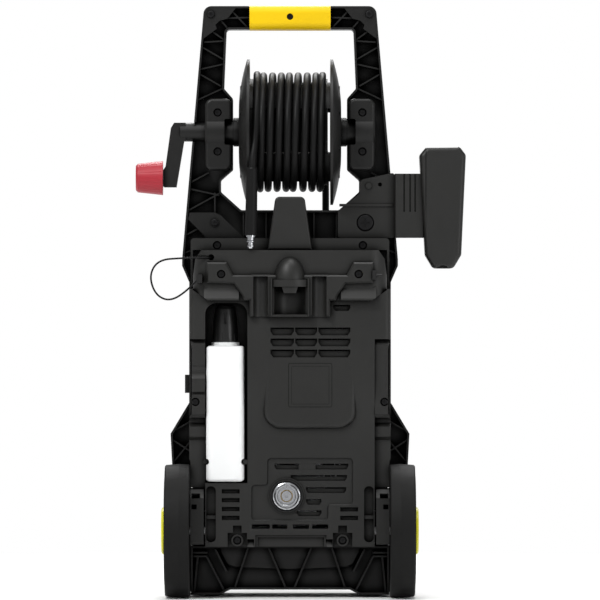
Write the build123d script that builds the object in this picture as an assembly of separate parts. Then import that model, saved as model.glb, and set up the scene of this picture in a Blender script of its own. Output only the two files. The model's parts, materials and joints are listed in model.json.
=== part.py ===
"""Upright electric pressure washer with a hose reel on its handle.

Millimetres, +Z up. The machine stands on the floor at z = 0. Its rear, the side the user stands
at, faces -Y. Sizes below are measured from the machine's middle plane; write() moves every part so
that the middle of the machine's floor area is at x = 0, y = 0.
"""
from build123d import *
import math
import os

# ---------------------------------------------------------------- driving sizes
WALL = 3.0
GAP = 0.3
HEIGHT = 886.0

FRAME_REAR, FRAME_FRONT = -22.0, 22.0
BAR_LOW = 851.0
CROSSBAR_TOP = 579.6
CROSSBAR_LOW = 505.0
HANDLE_LOW = 440.0
GRIP_HALF = 60.8

REEL_Y, REEL_Z = -8.0, 697.0
FLANGE_R = 109.4
FLANGE_IN, FLANGE_OUT = 60.5, 76.8
BARREL_R = 81.0
STUB_R = 20.0
STUB_END = 112.0
HOSE_R = 5.25
COIL_R = 94.0
COIL_HALF = 55.5

WHEEL_R = 100.0
WHEEL_Y, WHEEL_Z = -70.0, 100.0
TYRE_IN, TYRE_OUT = 149.0, 186.6
AXLE_R = 6.0

SPLIT_X = 126.5
REAR_FACE = -105.0
PANEL_FACE = -97.0
BAND_FACE, BULGE_FACE = -111.0, -118.0
BULGE_LOW, BULGE_TOP = 444.0, 519.0
LEDGE_LOW, LEDGE_TOP = 519.5, 537.0
LEDGE_FACE = -78.0

BAY_X0, BAY_X1 = -126.2, -63.3
BAY_Z0, BAY_Z1 = 172.0, 440.4
BAY_BACK = -32.0
BOTTLE_X0, BOTTLE_X1 = -124.9, -68.2
BOTTLE_Z0, BOTTLE_SHOULDER = 174.2, 376.4
BOTTLE_Y0, BOTTLE_Y1 = -102.0, -40.0
BOTTLE_NOTCH_Z = 203.5

INLET_X, INLET_Z = -5.0, 152.5
OUTLET_X, OUTLET_Y = 54.0, 95.5

FRONT_FACE = 142.0
KNOB_OUTER, KNOB_INNER = -231.6, -191.0
KNOB_Z = 628.0
HOLSTER_OUTER = 263.4

CENTRE_X = (KNOB_OUTER + HOLSTER_OUTER) / 2
CENTRE_Y = (WHEEL_Y - WHEEL_R + FRONT_FACE + 4.0) / 2


# ---------------------------------------------------------------- helpers
def outline(points, radius=0.0):
    """A face from a closed list of 2-D points, with its corners rounded."""
    face = make_face(Polyline(*points, close=True))
    return fillet(face.vertices(), radius) if radius else face


def mirrored(points):
    """A closed outline from its right half, listed from top to bottom."""
    return list(points) + [(-x, z) for x, z in reversed(points)]


def prism(face, rear, front):
    """The face in X and Z, made solid from y = rear to y = front."""
    return extrude(Plane.XZ.offset(-front) * face, amount=front - rear)


def prism_x(face, low, high):
    """The face in Y and Z, made solid from x = low to x = high."""
    return extrude(Plane.YZ.offset(low) * face, amount=high - low)


def prism_z(face, low, high):
    """The face in X and Y, made solid from z = low to z = high."""
    return extrude(Plane.XY.offset(low) * face, amount=high - low)


def block(x0, x1, y0, y1, z0, z1):
    return Pos((x0 + x1) / 2, (y0 + y1) / 2, (z0 + z1) / 2) * Box(x1 - x0, y1 - y0, z1 - z0)


def rod_x(radius, x0, x1, y, z):
    return Pos((x0 + x1) / 2, y, z) * Rot(0, 90, 0) * Cylinder(radius, x1 - x0)


def rod_y(radius, y0, y1, x, z):
    return Pos(x, (y0 + y1) / 2, z) * Rot(90, 0, 0) * Cylinder(radius, y1 - y0)


def rod_z(radius, z0, z1, x, y):
    return Pos(x, y, (z0 + z1) / 2) * Cylinder(radius, z1 - z0)


def both_sides(part):
    return part + mirror(part, about=Plane.YZ)


def lathe_x(points, y, z):
    """A profile of (x, radius) points, turned about the X axis through y and z."""
    face = make_face(Polyline(*points, close=True))
    return Pos(0, y, z) * revolve(Plane.XY * face, axis=Axis.X)


def lathe_z(points, x, y):
    """A profile of (radius, z) points, turned about the Z axis through x and y."""
    face = make_face(Polyline(*points, close=True))
    return Pos(x, y, 0) * revolve(Plane.XZ * face, axis=Axis.Z)


def lathe_y(points, x, z):
    """A profile of (radius, y) points, turned about the Y axis through x and z."""
    face = make_face(Polyline(*points, close=True))
    return Pos(x, 0, z) * revolve(Plane.XY * face, axis=Axis.Y)


def rib(x0, z0, x1, z1, rear, front, thick=2.2):
    """A thin wall between two points of the rear view, from y = rear to y = front."""
    length = math.hypot(x1 - x0, z1 - z0)
    angle = math.degrees(math.atan2(z1 - z0, x1 - x0))
    face = Pos((x0 + x1) / 2, (z0 + z1) / 2) * Rot(0, 0, angle) * Rectangle(length, thick)
    return prism(face, rear, front)


def slot(x0, x1, z, height, lean=0.0):
    """A vent slot's outline: lean cuts its lower corners."""
    half = height / 2
    if lean:
        return outline([(x0, z + half), (x1, z + half), (x1, z), (x1 - lean, z - half),
                        (x0 + lean, z - half), (x0, z)])
    return outline([(x0, z + half), (x1, z + half), (x1, z - half), (x0, z - half)], 1.2)


# ---------------------------------------------------------------- screws
SCREW_SINK = 7.0
SCREW_HOLE_R = 6.3
HEAD_R, SHANK_R = 5.2, 2.0
HEAD_THICK = 3.0
SHANK_LONG = 12.0
BOSS_R = 9.0
BOSS_LONG = 14.0


def bossed(cover, spots, face_y):
    """Adds a sunk screw boss to a cover at each (x, z), from its rear face at face_y."""
    for x, z in spots:
        cover += rod_y(BOSS_R, face_y + 0.5, face_y + BOSS_LONG, x, z)
    for x, z in spots:
        cover -= rod_y(SCREW_HOLE_R, face_y - 30, face_y + SCREW_SINK, x, z)
        cover -= rod_y(SHANK_R + 0.05, face_y - 1, face_y + BOSS_LONG + 1, x, z)
    return cover


def screw(x, z, seat_y, head_r=HEAD_R, head=HEAD_THICK):
    """A cross-head screw whose head sits on y = seat_y and whose shank points to the front."""
    body = rod_y(head_r, seat_y - head, seat_y, x, z)
    body = fillet(body.edges().filter_by(GeomType.CIRCLE).sort_by(Axis.Y)[0], head * 0.4)
    body += rod_y(SHANK_R, seat_y - 0.5, seat_y + SHANK_LONG, x, z)
    cross_w, cross_l, cross_deep = head_r * 0.24, head_r * 1.1, head * 0.6
    for wide, tall in ((cross_w, cross_l), (cross_l, cross_w)):
        body -= block(x - wide / 2, x + wide / 2, seat_y - head - 1, seat_y - head + cross_deep,
                      z - tall / 2, z + tall / 2)
    return body


# ---------------------------------------------------------------- handle frame
HANDLE_OUTER = [(129.0, HEIGHT), (162.0, 506.0), (162.0, 496.0), (150.7, 470.0), (150.7, HANDLE_LOW)]
HANDLE_MOUTH = [(95.3, BAR_LOW), (99.0, 762.0), (85.7, 747.0), (85.7, 640.0), (103.8, 624.0),
                (103.8, 607.0), (73.2, CROSSBAR_TOP)]
LEG_IN_LOW = 118.0
HANDLE_RIBS = [(129, 832, 95, 834), (131, 824, 100, 806), (136, 791, 100, 799), (137, 785, 104, 766),
               (139, 745, 100, 763), (98, 868, 61, 869), (94, 886, 61, 851), (108, 869, 91, 850),
               (121, 851, 97, 834), (150, 621, 122, 636), (152, 612, 106, 602), (155, 578, 104, 606),
               (113, 606, 113, 576), (161, 540, 130, 556), (160, 515, 120, 530), (150, 470, 118, 500),
               (70, 580, 70, 505), (36, 580, 36, 505), (150.7, 455, 118, 470)]
RIB_REAR = FRAME_REAR + 4.0
CORE_HALF_Z, CORE_HALF_Y = 13.0, 15.5
SEAT_IN, SEAT_OUT = 97.0, 111.5
BUSH_R = 23.0
CRANK_SHAFT_R = 14.2


def handle_solid():
    outer = outline([(x, z) for x, z in HANDLE_OUTER] + [(-x, z) for x, z in reversed(HANDLE_OUTER)])
    top_corners = [v for v in outer.vertices() if v.Y > HEIGHT - 1]
    return fillet(top_corners, 12.0)


def handle_frame():
    outer = handle_solid()
    mouth = outline(mirrored(HANDLE_MOUTH), 5.0)
    below = outline([(LEG_IN_LOW, CROSSBAR_LOW), (LEG_IN_LOW, HANDLE_LOW - 1),
                     (-LEG_IN_LOW, HANDLE_LOW - 1), (-LEG_IN_LOW, CROSSBAR_LOW)])
    pocket = offset(outer, amount=-WALL, kind=Kind.INTERSECTION) - offset(mouth, amount=WALL)
    pocket -= offset(below, amount=WALL, kind=Kind.INTERSECTION)
    frame = prism(outer - mouth - below, FRAME_REAR, FRAME_FRONT)
    hollow = prism(pocket, FRAME_REAR - 1, FRAME_FRONT - WALL)
    frame -= hollow
    ribs = Part() + [rib(side * a, b, side * c, d, RIB_REAR, FRAME_FRONT - WALL + 0.5)
                     for a, b, c, d in HANDLE_RIBS for side in (-1, 1)]
    seats = both_sides(block(SEAT_IN, SEAT_OUT, FRAME_REAR + 0.5, FRAME_FRONT - 1,
                             REEL_Z - 30, REEL_Z + 30))
    pads = Part() + [rod_y(BOSS_R, RIB_REAR, FRAME_FRONT - 1, side * 108.6, REEL_Z + dz)
                     for side in (-1, 1) for dz in (-29.5, 29)]
    frame += (ribs & hollow) + seats + (pads & hollow)
    # the slimmer bar that the two halves of the grip close round
    bar_z = (BAR_LOW + HEIGHT) / 2
    frame -= block(-GRIP_HALF - GAP, GRIP_HALF + GAP, -30, 30, BAR_LOW - 5, HEIGHT + 5)
    frame += block(-GRIP_HALF - GAP - 1, GRIP_HALF + GAP + 1, -CORE_HALF_Y, CORE_HALF_Y,
                   bar_z - CORE_HALF_Z, bar_z + CORE_HALF_Z)
    # round seats for the reel's stub axles, open to the rear
    for x0, x1, radius in ((80, 98, STUB_R + 1.2), (SEAT_IN - 1, SEAT_OUT + 1, BUSH_R + 0.05)):
        notch = rod_x(radius, x0, x1, REEL_Y, REEL_Z)
        notch += block(x0, x1, -40, REEL_Y, REEL_Z - radius, REEL_Z + radius)
        frame -= both_sides(notch)
    shaft_way = rod_x(CRANK_SHAFT_R + 1.5, -160, -SEAT_OUT, REEL_Y, REEL_Z)
    shaft_way += block(-160, -SEAT_OUT, -40, REEL_Y, REEL_Z - 15, REEL_Z + 15)
    frame -= shaft_way
    for x, z in FRAME_HOLES:
        frame -= rod_y(SHANK_R + 0.05, FRAME_REAR - 1, 0, x, z)
    return frame


PLATE_THICK = 3.6
CORNER_PLATE = [(80, HEIGHT - 1), (94, 867), (105, 864.5), (112, 858), (110, 852), (131.5, 836),
                (140, 836), (140, HEIGHT - 1)]
CORNER_SCREW = (118.8, 874.0)
GUSSET = [(-150.5, 576), (-112.5, 576), (-104, 572), (-69, 538), (-125, 538), (-153, 566)]
GUSSET_SCREW = (-113.0, 561.0)
GRIP_SCREW_Z = 870.0
BRACKET_SCREW = (113.0, 560.7)
BEARING_SCREWS = [(side * 108.6, REEL_Z + dz) for side in (-1, 1) for dz in (-29.6, 29.0)]
FRAME_HOLES = BEARING_SCREWS + [(0.0, GRIP_SCREW_Z), CORNER_SCREW, (-CORNER_SCREW[0], CORNER_SCREW[1]),
                                GUSSET_SCREW, BRACKET_SCREW]


def in_pocket(face, rear, front, clear=0.2):
    """The part of a plate that fits inside the handle frame's walls."""
    room = offset(handle_solid(), amount=-WALL - clear, kind=Kind.INTERSECTION)
    room -= offset(outline(mirrored(HANDLE_MOUTH), 5.0), amount=WALL + clear)
    return prism(face & room, rear, front)


def frame_plates():
    """The two upper corner plates and the gusset at the lower left."""
    plate = in_pocket(outline(CORNER_PLATE), FRAME_REAR, FRAME_REAR + PLATE_THICK)
    x, z = CORNER_SCREW
    plate += rod_y(6.0, FRAME_REAR - 0.8, FRAME_REAR + 2, x, z)
    plate -= rod_y(SHANK_R + 0.05, FRAME_REAR - 2, FRAME_REAR + 5, x, z)
    plates = both_sides(plate)
    plate = in_pocket(outline(GUSSET), FRAME_REAR, FRAME_REAR + PLATE_THICK)
    x, z = GUSSET_SCREW
    plate += rod_y(7.0, FRAME_REAR - 1, FRAME_REAR + 2, x, z)
    return plates + (plate - rod_y(SHANK_R + 0.05, FRAME_REAR - 3, FRAME_REAR + 5, x, z))


def grip_shell():
    bar_z = (BAR_LOW + HEIGHT) / 2
    face = Pos(0, bar_z) * RectangleRounded(52, 36.4, 11)
    shell = prism_x(face, -GRIP_HALF, GRIP_HALF)
    return shell - block(-70, 70, -CORE_HALF_Y - 0.2, CORE_HALF_Y + 0.2,
                         bar_z - CORE_HALF_Z - 0.2, bar_z + CORE_HALF_Z + 0.2)


def grip_rear():
    half = grip_shell() & block(-70, 70, -40, -0.05, 800, 900)
    return half - rod_y(4.9, -30, -20.5, 0, GRIP_SCREW_Z) - rod_y(SHANK_R + 0.05, -30, 0, 0, GRIP_SCREW_Z)


def grip_front():
    return grip_shell() & block(-70, 70, 0.05, 40, 800, 900)


def bearing_cover(side):
    """Screwed plate over the reel's bearing on one leg."""
    x_mid = side * 111.7
    low, high = 639.0, 747.0
    face = Pos(x_mid - side * 4.6, (low + high) / 2) * RectangleRounded(40.6, high - low, 11)
    plate = prism(face, FRAME_REAR - 13, FRAME_REAR - 0.2)
    plate = fillet(plate.edges().group_by(Axis.Y)[0], 5.0)
    saddle = rod_x(31, x_mid - 15.7, x_mid + 15.7, REEL_Y, REEL_Z)
    saddle = chamfer(saddle.edges().filter_by(GeomType.CIRCLE), 2.5)
    plate += saddle & block(x_mid - 16, x_mid + 16, -60, FRAME_REAR - 0.2, low, high)
    notch = Pos(x_mid - side * 19.2, -45, REEL_Z) * Box(12, 60, 39)
    plate -= fillet(notch.edges().filter_by(Axis.Y), 3)
    plate -= rod_x(STUB_R + 0.6, x_mid - 30, x_mid + 30, REEL_Y, REEL_Z)
    plate -= rod_x(BUSH_R + 0.05, x_mid - 30, x_mid + 30, REEL_Y, REEL_Z)
    for x, z in BEARING_SCREWS:
        plate -= rod_y(SCREW_HOLE_R, -60, FRAME_REAR - 6, x, z)
        plate -= rod_y(SHANK_R + 0.05, -60, 0, x, z)
    return plate


# ---------------------------------------------------------------- hose reel
DISH_STEPS = 10
SPOKES = 8


def dish(radius):
    """The flange's outer face: x at a radius, bulging towards the hub."""
    share = (radius - 40.0) / (FLANGE_R - 40.0)
    return FLANGE_OUT - (FLANGE_OUT - FLANGE_IN - 4.0) * max(share, 0.0) ** 1.7


def flange(side):
    rings = [40.0 + (FLANGE_R - 40.0) * k / DISH_STEPS for k in range(DISH_STEPS + 1)]
    outer = [(dish(r), r) for r in rings]
    inner = [(max(dish(r) - WALL, FLANGE_IN), r) for r in reversed(rings)]
    profile = [(FLANGE_OUT, 12.0)] + outer + [(FLANGE_IN, FLANGE_R)] + inner[1:] + \
              [(FLANGE_OUT - WALL, 12.0)]
    part = lathe_x(profile, REEL_Y, REEL_Z)
    part += lathe_x([(FLANGE_IN, BARREL_R - 8), (FLANGE_IN, BARREL_R), (FLANGE_OUT - 8, BARREL_R),
                     (FLANGE_OUT - 6, BARREL_R - 8)], REEL_Y, REEL_Z)
    part += lathe_x([(FLANGE_OUT - 1, 14.0), (FLANGE_OUT - 1, 21.6), (FLANGE_OUT + 8, 21.6),
                     (FLANGE_OUT + 8, STUB_R), (STUB_END, STUB_R), (STUB_END, 14.0)], REEL_Y, REEL_Z)
    part += lathe_x([(FLANGE_OUT - 1, 0.0), (FLANGE_OUT - 1, 15.0), (STUB_END, 15.0),
                     (STUB_END, 0.0)], REEL_Y, REEL_Z)
    part += lathe_x([(FLANGE_OUT - WALL, 0.0), (FLANGE_OUT - WALL, 13.0), (FLANGE_OUT, 13.0),
                     (FLANGE_OUT, 0.0)], REEL_Y, REEL_Z)
    for k in range(SPOKES):
        web = block(FLANGE_IN + 1.5, FLANGE_OUT - 2, -1.2, 1.2, 30, BARREL_R - 7)
        part += Pos(0, REEL_Y, REEL_Z) * Rot(360 / SPOKES * (k + 0.5), 0, 0) * web
    part -= Pos(STUB_END - 10, REEL_Y, REEL_Z) * Box(20.2, 14.4, 14.4)
    return part if side > 0 else mirror(part, about=Plane.YZ)


POSTS = 4
POST_HALF_DEG = 20.5
RING_X = 53.5


def reel_barrel():
    """Four posts that the hose winds on, joined by two rings, with open gaps between the posts."""
    half = FLANGE_IN - 0.1
    tube = rod_x(BARREL_R, -half, half, 0, 0) - rod_x(BARREL_R - 5, -half - 1, half + 1, 0, 0)
    reach = BARREL_R * 1.5
    wedge_face = outline([(0, 0), (reach * math.cos(math.radians(POST_HALF_DEG)),
                                   reach * math.sin(math.radians(POST_HALF_DEG))),
                          (reach * math.cos(math.radians(POST_HALF_DEG)),
                           -reach * math.sin(math.radians(POST_HALF_DEG)))])
    post = tube & prism_x(wedge_face, -half - 1, half + 1)
    barrel = Part() + [Rot(45 + 90 * k, 0, 0) * post for k in range(POSTS)]
    for x0, x1 in ((-half, 3 - RING_X), (RING_X - 3, RING_X + 3)):
        barrel += rod_x(BARREL_R - 1, x0, x1, 0, 0) - rod_x(BARREL_R - 9, x0 - 1, x1 + 1, 0, 0)
    return Pos(0, REEL_Y, REEL_Z) * barrel


def reel_bushes():
    ring = rod_x(BUSH_R, SEAT_IN + 0.5, SEAT_OUT - 0.5, REEL_Y, REEL_Z)
    return both_sides(ring - rod_x(STUB_R + 0.06, SEAT_IN - 1, SEAT_OUT + 1, REEL_Y, REEL_Z))


ARM = [(-STUB_END - 0.2, 711), (-174, 711), (-179, 703), (-187, 645), (-190.5, 640), (-190.5, 614),
       (-170.5, 614), (-159, 683.5), (-STUB_END - 0.2, 683.5)]
ARM_HALF = 11.5
PIN_R = 4.0


def crank_arm():
    shaft = rod_x(CRANK_SHAFT_R, -165, -STUB_END - 0.2, REEL_Y, REEL_Z)
    arm = prism(outline(ARM), REEL_Y - ARM_HALF, REEL_Y + ARM_HALF)
    arm -= block(-157, -100, -40, 40, 650, 750)
    arm = fillet(arm.edges().filter_by(Axis.Y).sort_by(Axis.X)[0:3], 2.5)
    arm += shaft + Pos(-STUB_END + 8, REEL_Y, REEL_Z) * Box(18, 14.0, 14.0)
    return arm - rod_x(PIN_R, -200, -172, REEL_Y, KNOB_Z)


KNOB_BIG, KNOB_SMALL = 25.8, 21.6
FLUTES = 10


def crank_knob():
    knob = lathe_x([(KNOB_INNER, PIN_R + 0.06), (KNOB_INNER, KNOB_BIG), (KNOB_OUTER + 3, KNOB_SMALL),
                    (KNOB_OUTER, KNOB_SMALL - 3), (KNOB_OUTER, PIN_R + 0.06)], REEL_Y, KNOB_Z)
    lean = math.degrees(math.atan2(KNOB_BIG - KNOB_SMALL, KNOB_INNER - KNOB_OUTER))
    for k in range(FLUTES):
        groove = Pos((KNOB_OUTER + KNOB_INNER) / 2 - 4, 0, KNOB_SMALL + 8.8) * \
            Rot(0, 90 - lean, 0) * Cylinder(7.5, 44)
        knob -= Pos(0, REEL_Y, KNOB_Z) * Rot(360 / FLUTES * k, 0, 0) * groove
    return knob - rod_x(8, KNOB_OUTER - 1, KNOB_OUTER + 5, REEL_Y, KNOB_Z)


def crank_pin():
    pin = rod_x(PIN_R, KNOB_OUTER + 3, -174, REEL_Y, KNOB_Z)
    return pin + rod_x(7, KNOB_OUTER + 1, KNOB_OUTER + 4.5, REEL_Y, KNOB_Z)


# ---------------------------------------------------------------- hose
TAIL_REAR = [(-49.5, -96.0, 704.0), (-52.5, -102.5, 677.0), (-55.9, -113.5, 654.0),
             (-57.4, -113.5, 580.0)]
TAIL_FRONT = [(50.0, 79.5, 704.0), (51.5, 85.5, 677.0), (54.0, 95.5, 654.0), (54.0, 95.5, 577.8)]
SLEEVE_TOP = 642.0
SLEEVE_LOW = 541.0
NIPPLE_LOW = 521.5
TAIL_LEAN = math.degrees(math.atan2(TAIL_REAR[-2][0] - TAIL_REAR[-1][0],
                                    TAIL_REAR[-2][2] - TAIL_REAR[-1][2]))


def arc_radii(points, share=0.45):
    """The radius of the arc at each inner point: as large as its two runs allow."""
    radii = []
    for a, b, c in zip(points, points[1:], points[2:]):
        run_in, run_out = Vector(*b) - Vector(*a), Vector(*c) - Vector(*b)
        turn = math.radians(run_in.get_angle(run_out))
        radii.append(share * min(run_in.length, run_out.length) / math.tan(turn / 2))
    return radii


def tube(points, radius, name):
    """A round cord along straight runs joined by tangent arcs."""
    radii = arc_radii(points)
    print(name, "radii", [round(r, 1) for r in radii])
    path = FilletPolyline(*points, radius=radii)
    start = Plane(origin=path @ 0, z_dir=path % 0)
    body = sweep(start * Circle(radius), path=path)
    print(name, "length", round(path.length, 1), "volume share",
          round(body.volume / (math.pi * radius ** 2 * path.length), 4))
    return body


def hose_coil():
    ring = rod_x(COIL_R, -COIL_HALF, COIL_HALF, REEL_Y, REEL_Z)
    return ring - rod_x(BARREL_R + 0.5, -COIL_HALF - 1, COIL_HALF + 1, REEL_Y, REEL_Z)


def hose_tail(points, name):
    """A loose end of the hose, from the coil down to its fitting."""
    return tube(points, HOSE_R, name) - hose_coil()


def hung(part):
    """Leans a piece made upright at the end of the rear tail to the tail's own direction."""
    x, y, z = TAIL_REAR[-1]
    return Pos(x, y, z) * Rot(0, TAIL_LEAN, 0) * Pos(0, 0, -z) * part


def hose_sleeve():
    """Tapered rubber sleeve on the straight end of the rear tail."""
    end = TAIL_REAR[-1][2]
    sleeve = lathe_z([(HOSE_R + 0.02, SLEEVE_TOP), (7.2, SLEEVE_TOP), (8.0, SLEEVE_TOP - 2),
                      (9.3, SLEEVE_LOW), (0.0, SLEEVE_LOW), (0.0, end), (HOSE_R + 0.02, end)], 0, 0)
    return hung(sleeve)


def hose_nipple():
    top = SLEEVE_LOW
    steps = [(0, top), (7.2, top), (7.2, top - 2.5), (5.2, top - 2.5), (5.2, top - 7.5), (6.2, top - 8.5),
             (6.2, top - 10), (4.4, top - 11), (4.4, top - 14.5), (5.3, top - 15.2), (5.3, top - 17),
             (3.8, NIPPLE_LOW), (0, NIPPLE_LOW)]
    return hung(lathe_z(steps, 0, 0) - rod_z(2.2, NIPPLE_LOW - 1, top - 4, 0, 0))


NUT_R = 13.0
OUTLET_SEAT = 545.0


def outlet_nut():
    x, y = OUTLET_X, OUTLET_Y
    nut = lathe_z([(0, 577.8), (9.5, 577.8), (11, 574), (NUT_R, 572), (NUT_R, 552), (11.5, 549.5),
                   (8.2, 549.5), (8.2, 566), (0, 566)], x, y)
    for k in range(16):
        angle = 2 * math.pi * k / 16
        nut -= rod_z(1.2, 550, 573, x + NUT_R * math.cos(angle), y + NUT_R * math.sin(angle))
    return nut


def outlet_fitting():
    x, y = OUTLET_X, OUTLET_Y
    body = lathe_z([(0, 565.5), (5.5, 565.5), (8.0, 563), (8.0, 549), (12.5, 549), (12.5, OUTLET_SEAT),
                    (8.0, OUTLET_SEAT), (8.0, 524), (0, 524)], x, y)
    return body - rod_z(3.0, 523, 567, x, y)


# ---------------------------------------------------------------- lower frame
CHASSIS_OUTER = [(150.4, HANDLE_LOW - GAP), (150.4, 292), (154.5, 285.5), (179.4, 244), (176.6, 192),
                 (146.6, 192), (146.6, 77)]
CHASSIS_IN, CHASSIS_MOUTH_LOW = 112.0, 104.0
CHASSIS_RIBS = [(150, 290, 112, 320), (150, 360, 112, 330), (150, 370, 112, 400), (178, 236, 146, 215),
                (176, 200, 150, 232), (179, 246, 150, 262), (146, 180, 112, 150), (146, 110, 112, 140)]


def chassis_frame():
    points = [(x, z) for x, z in CHASSIS_OUTER]
    outer = outline(mirrored(points))
    mouth = outline([(CHASSIS_IN, 450), (CHASSIS_IN, CHASSIS_MOUTH_LOW), (-CHASSIS_IN, CHASSIS_MOUTH_LOW),
                     (-CHASSIS_IN, 450)])
    pocket = offset(outer, amount=-WALL, kind=Kind.INTERSECTION)
    pocket -= offset(mouth, amount=WALL, kind=Kind.INTERSECTION)
    frame = prism(outer - mouth, FRAME_REAR, FRAME_FRONT)
    hollow = prism(pocket, FRAME_REAR - 1, FRAME_FRONT - WALL)
    frame -= hollow
    ribs = Part() + [rib(side * a, b, side * c, d, RIB_REAR, FRAME_FRONT - WALL + 0.5)
                     for a, b, c, d in CHASSIS_RIBS for side in (-1, 1)]
    return frame + (ribs & hollow)


BASE_TOP = 76.5
BASE_REAR, BASE_WALL, BASE_FRONT = -56.0, -26.0, 104.0
FOOT_IN, FOOT_OUT = 104.0, 148.4
BASE_OUTLINE = [(FOOT_OUT, BASE_TOP), (FOOT_OUT, 4), (FOOT_IN, 4), (89.4, 11.5)]
BASE_RIBS = [(-138, 62, -143.5, 5), (-124.2, 60, -98.1, 9), (-61.8, 76, -82.4, 14), (-33, 76, -6.5, 14),
             (-112, 72, -95, 38), (-148, 66.5, -124, 66.5), (-148, 61, -124, 61)]
TRAY = [(107, BASE_TOP), (105, 66), (95, 47.5), (83, 43.5), (20, 40.5)]


def base_frame():
    """The skirt under the body: ribs over a raised tray on its rear, a hollow open above at its front."""
    outer = outline(mirrored(BASE_OUTLINE))
    inner = offset(outer, amount=-WALL, kind=Kind.INTERSECTION)
    base = prism(outer, BASE_REAR, BASE_FRONT) - prism(inner, BASE_REAR - 1, BASE_WALL)
    hollow = prism(inner, BASE_REAR, BASE_WALL + 1)
    tray = outline(mirrored(TRAY))
    tray = fillet(tray.vertices().filter_by_position(Axis.Y, 41, 60), 9)
    step = prism(tray, BASE_WALL - 13, BASE_WALL + 1)
    step = fillet(step.edges().group_by(Axis.Y)[0].filter_by_position(Axis.Z, 30, 72), 3)
    ribs = Part() + [rib(side * a, b, side * c, d, BASE_REAR + 4, BASE_WALL + 1, 2.6)
                     for a, b, c, d in BASE_RIBS for side in (-1, 1)]
    base += (ribs + step) & hollow
    room = prism(inner, BASE_WALL + WALL + 1, BASE_FRONT - WALL)
    room += block(-FOOT_OUT + WALL, FOOT_OUT - WALL, BASE_WALL + WALL + 1, BASE_FRONT - WALL,
                  60, BASE_TOP + 1)
    base += both_sides(block(FOOT_OUT - 1, 155, 36, BASE_FRONT, 4, 62))
    return base - room


TREADS = 5


def rubber_feet():
    """Two grooved pads under the skirt's front corners."""
    pad = block(FOOT_IN + 3, FOOT_OUT - 1, 52, BASE_FRONT - 4, 0, 3.9)
    pitch = (FOOT_OUT - FOOT_IN - 4) / TREADS
    for k in range(1, TREADS):
        x = FOOT_IN + 3 + pitch * k
        pad -= block(x - 1.6, x + 1.6, 50, BASE_FRONT, -1, 1.8)
    return both_sides(pad)


CARRIER_IN = 128.5


def axle_carriers():
    """The two side brackets that the axle passes through."""
    face = outline([(-100, 80), (-23, 80), (-23, 163), (-88, 163), (-100, 150)], 4)
    carrier = prism_x(face, CARRIER_IN, FOOT_OUT)
    core = offset(face, amount=-WALL)
    carrier -= prism_x(core, CARRIER_IN + WALL, FOOT_OUT - WALL)
    carrier += rod_x(14, CARRIER_IN + 1, FOOT_OUT, WHEEL_Y, WHEEL_Z)
    for z in (118, 140):
        carrier += block(CARRIER_IN + 1, FOOT_OUT - 1, -99, -24, z - 1.2, z + 1.2)
    carrier -= rod_x(AXLE_R + 0.1, 100, 160, WHEEL_Y, WHEEL_Z)
    for z, x0 in ((152.7, 134), (136.5, 139)):
        carrier -= block(x0, 146.8, -110, -92, z - 3.6, z + 3.6)
    return both_sides(carrier)


# ---------------------------------------------------------------- wheels
RIM_R = 82.0
HUB_R = 35.0


def axle():
    rod = rod_x(AXLE_R, -183, 183, WHEEL_Y, WHEEL_Z)
    return fillet(rod.edges().filter_by(GeomType.CIRCLE), 1.2)


def tyre(side):
    r_in, r_out = WHEEL_R - 0.9, WHEEL_R - 1.6
    part = lathe_x([(TYRE_IN, RIM_R), (TYRE_IN, r_in - 1.6), (TYRE_IN + 1.6, r_in), (165, WHEEL_R),
                    (TYRE_OUT - 1.8, r_out), (TYRE_OUT, r_out - 1.8), (TYRE_OUT, RIM_R)], WHEEL_Y, WHEEL_Z)
    return part if side > 0 else mirror(part, about=Plane.YZ)


def rim(side):
    low, high = TYRE_IN + 1, TYRE_OUT + 0.8
    part = lathe_x([(low, RIM_R - 5), (low, RIM_R - 0.1), (high, RIM_R - 0.1), (high, RIM_R - 5),
                    (high - 6, RIM_R - 9), (high - 12, HUB_R - 4), (high - 15, HUB_R - 4),
                    (high - 9, RIM_R - 12)], WHEEL_Y, WHEEL_Z)
    part += lathe_x([(low + 0.6, AXLE_R + 0.06), (low + 0.6, 15), (high - 14, 15), (high - 14, HUB_R - 3),
                     (high - 12, HUB_R - 3), (high - 12, AXLE_R + 0.06)], WHEEL_Y, WHEEL_Z)
    for k in range(6):
        web = block(low + 6, high - 13, -1.5, 1.5, 13, RIM_R - 3)
        part += Pos(0, WHEEL_Y, WHEEL_Z) * Rot(60 * k, 0, 0) * web
    window = Pos(high - 10, 0, 0) * Rot(0, 90, 0) * Cylinder(10, 30)
    for k in range(6):
        part -= Pos(0, WHEEL_Y, WHEEL_Z) * Rot(60 * k + 30, 0, 0) * Pos(0, 0, 56) * window
    return part if side > 0 else mirror(part, about=Plane.YZ)


def hub_cap(side):
    base = TYRE_OUT + 0.8 - 11.8
    part = lathe_x([(base, 12), (base, HUB_R - 4.5), (base + 8, HUB_R), (190.2, HUB_R), (192, HUB_R - 3),
                    (192, 0), (189, 0), (189, HUB_R - 5), (base + 8, HUB_R - 7)], WHEEL_Y, WHEEL_Z)
    return part if side > 0 else mirror(part, about=Plane.YZ)


def axle_clips():
    clip = rod_x(11, 176.6, 179.6, WHEEL_Y, WHEEL_Z) - rod_x(AXLE_R, 170, 190, WHEEL_Y, WHEEL_Z)
    return both_sides(clip)


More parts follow.
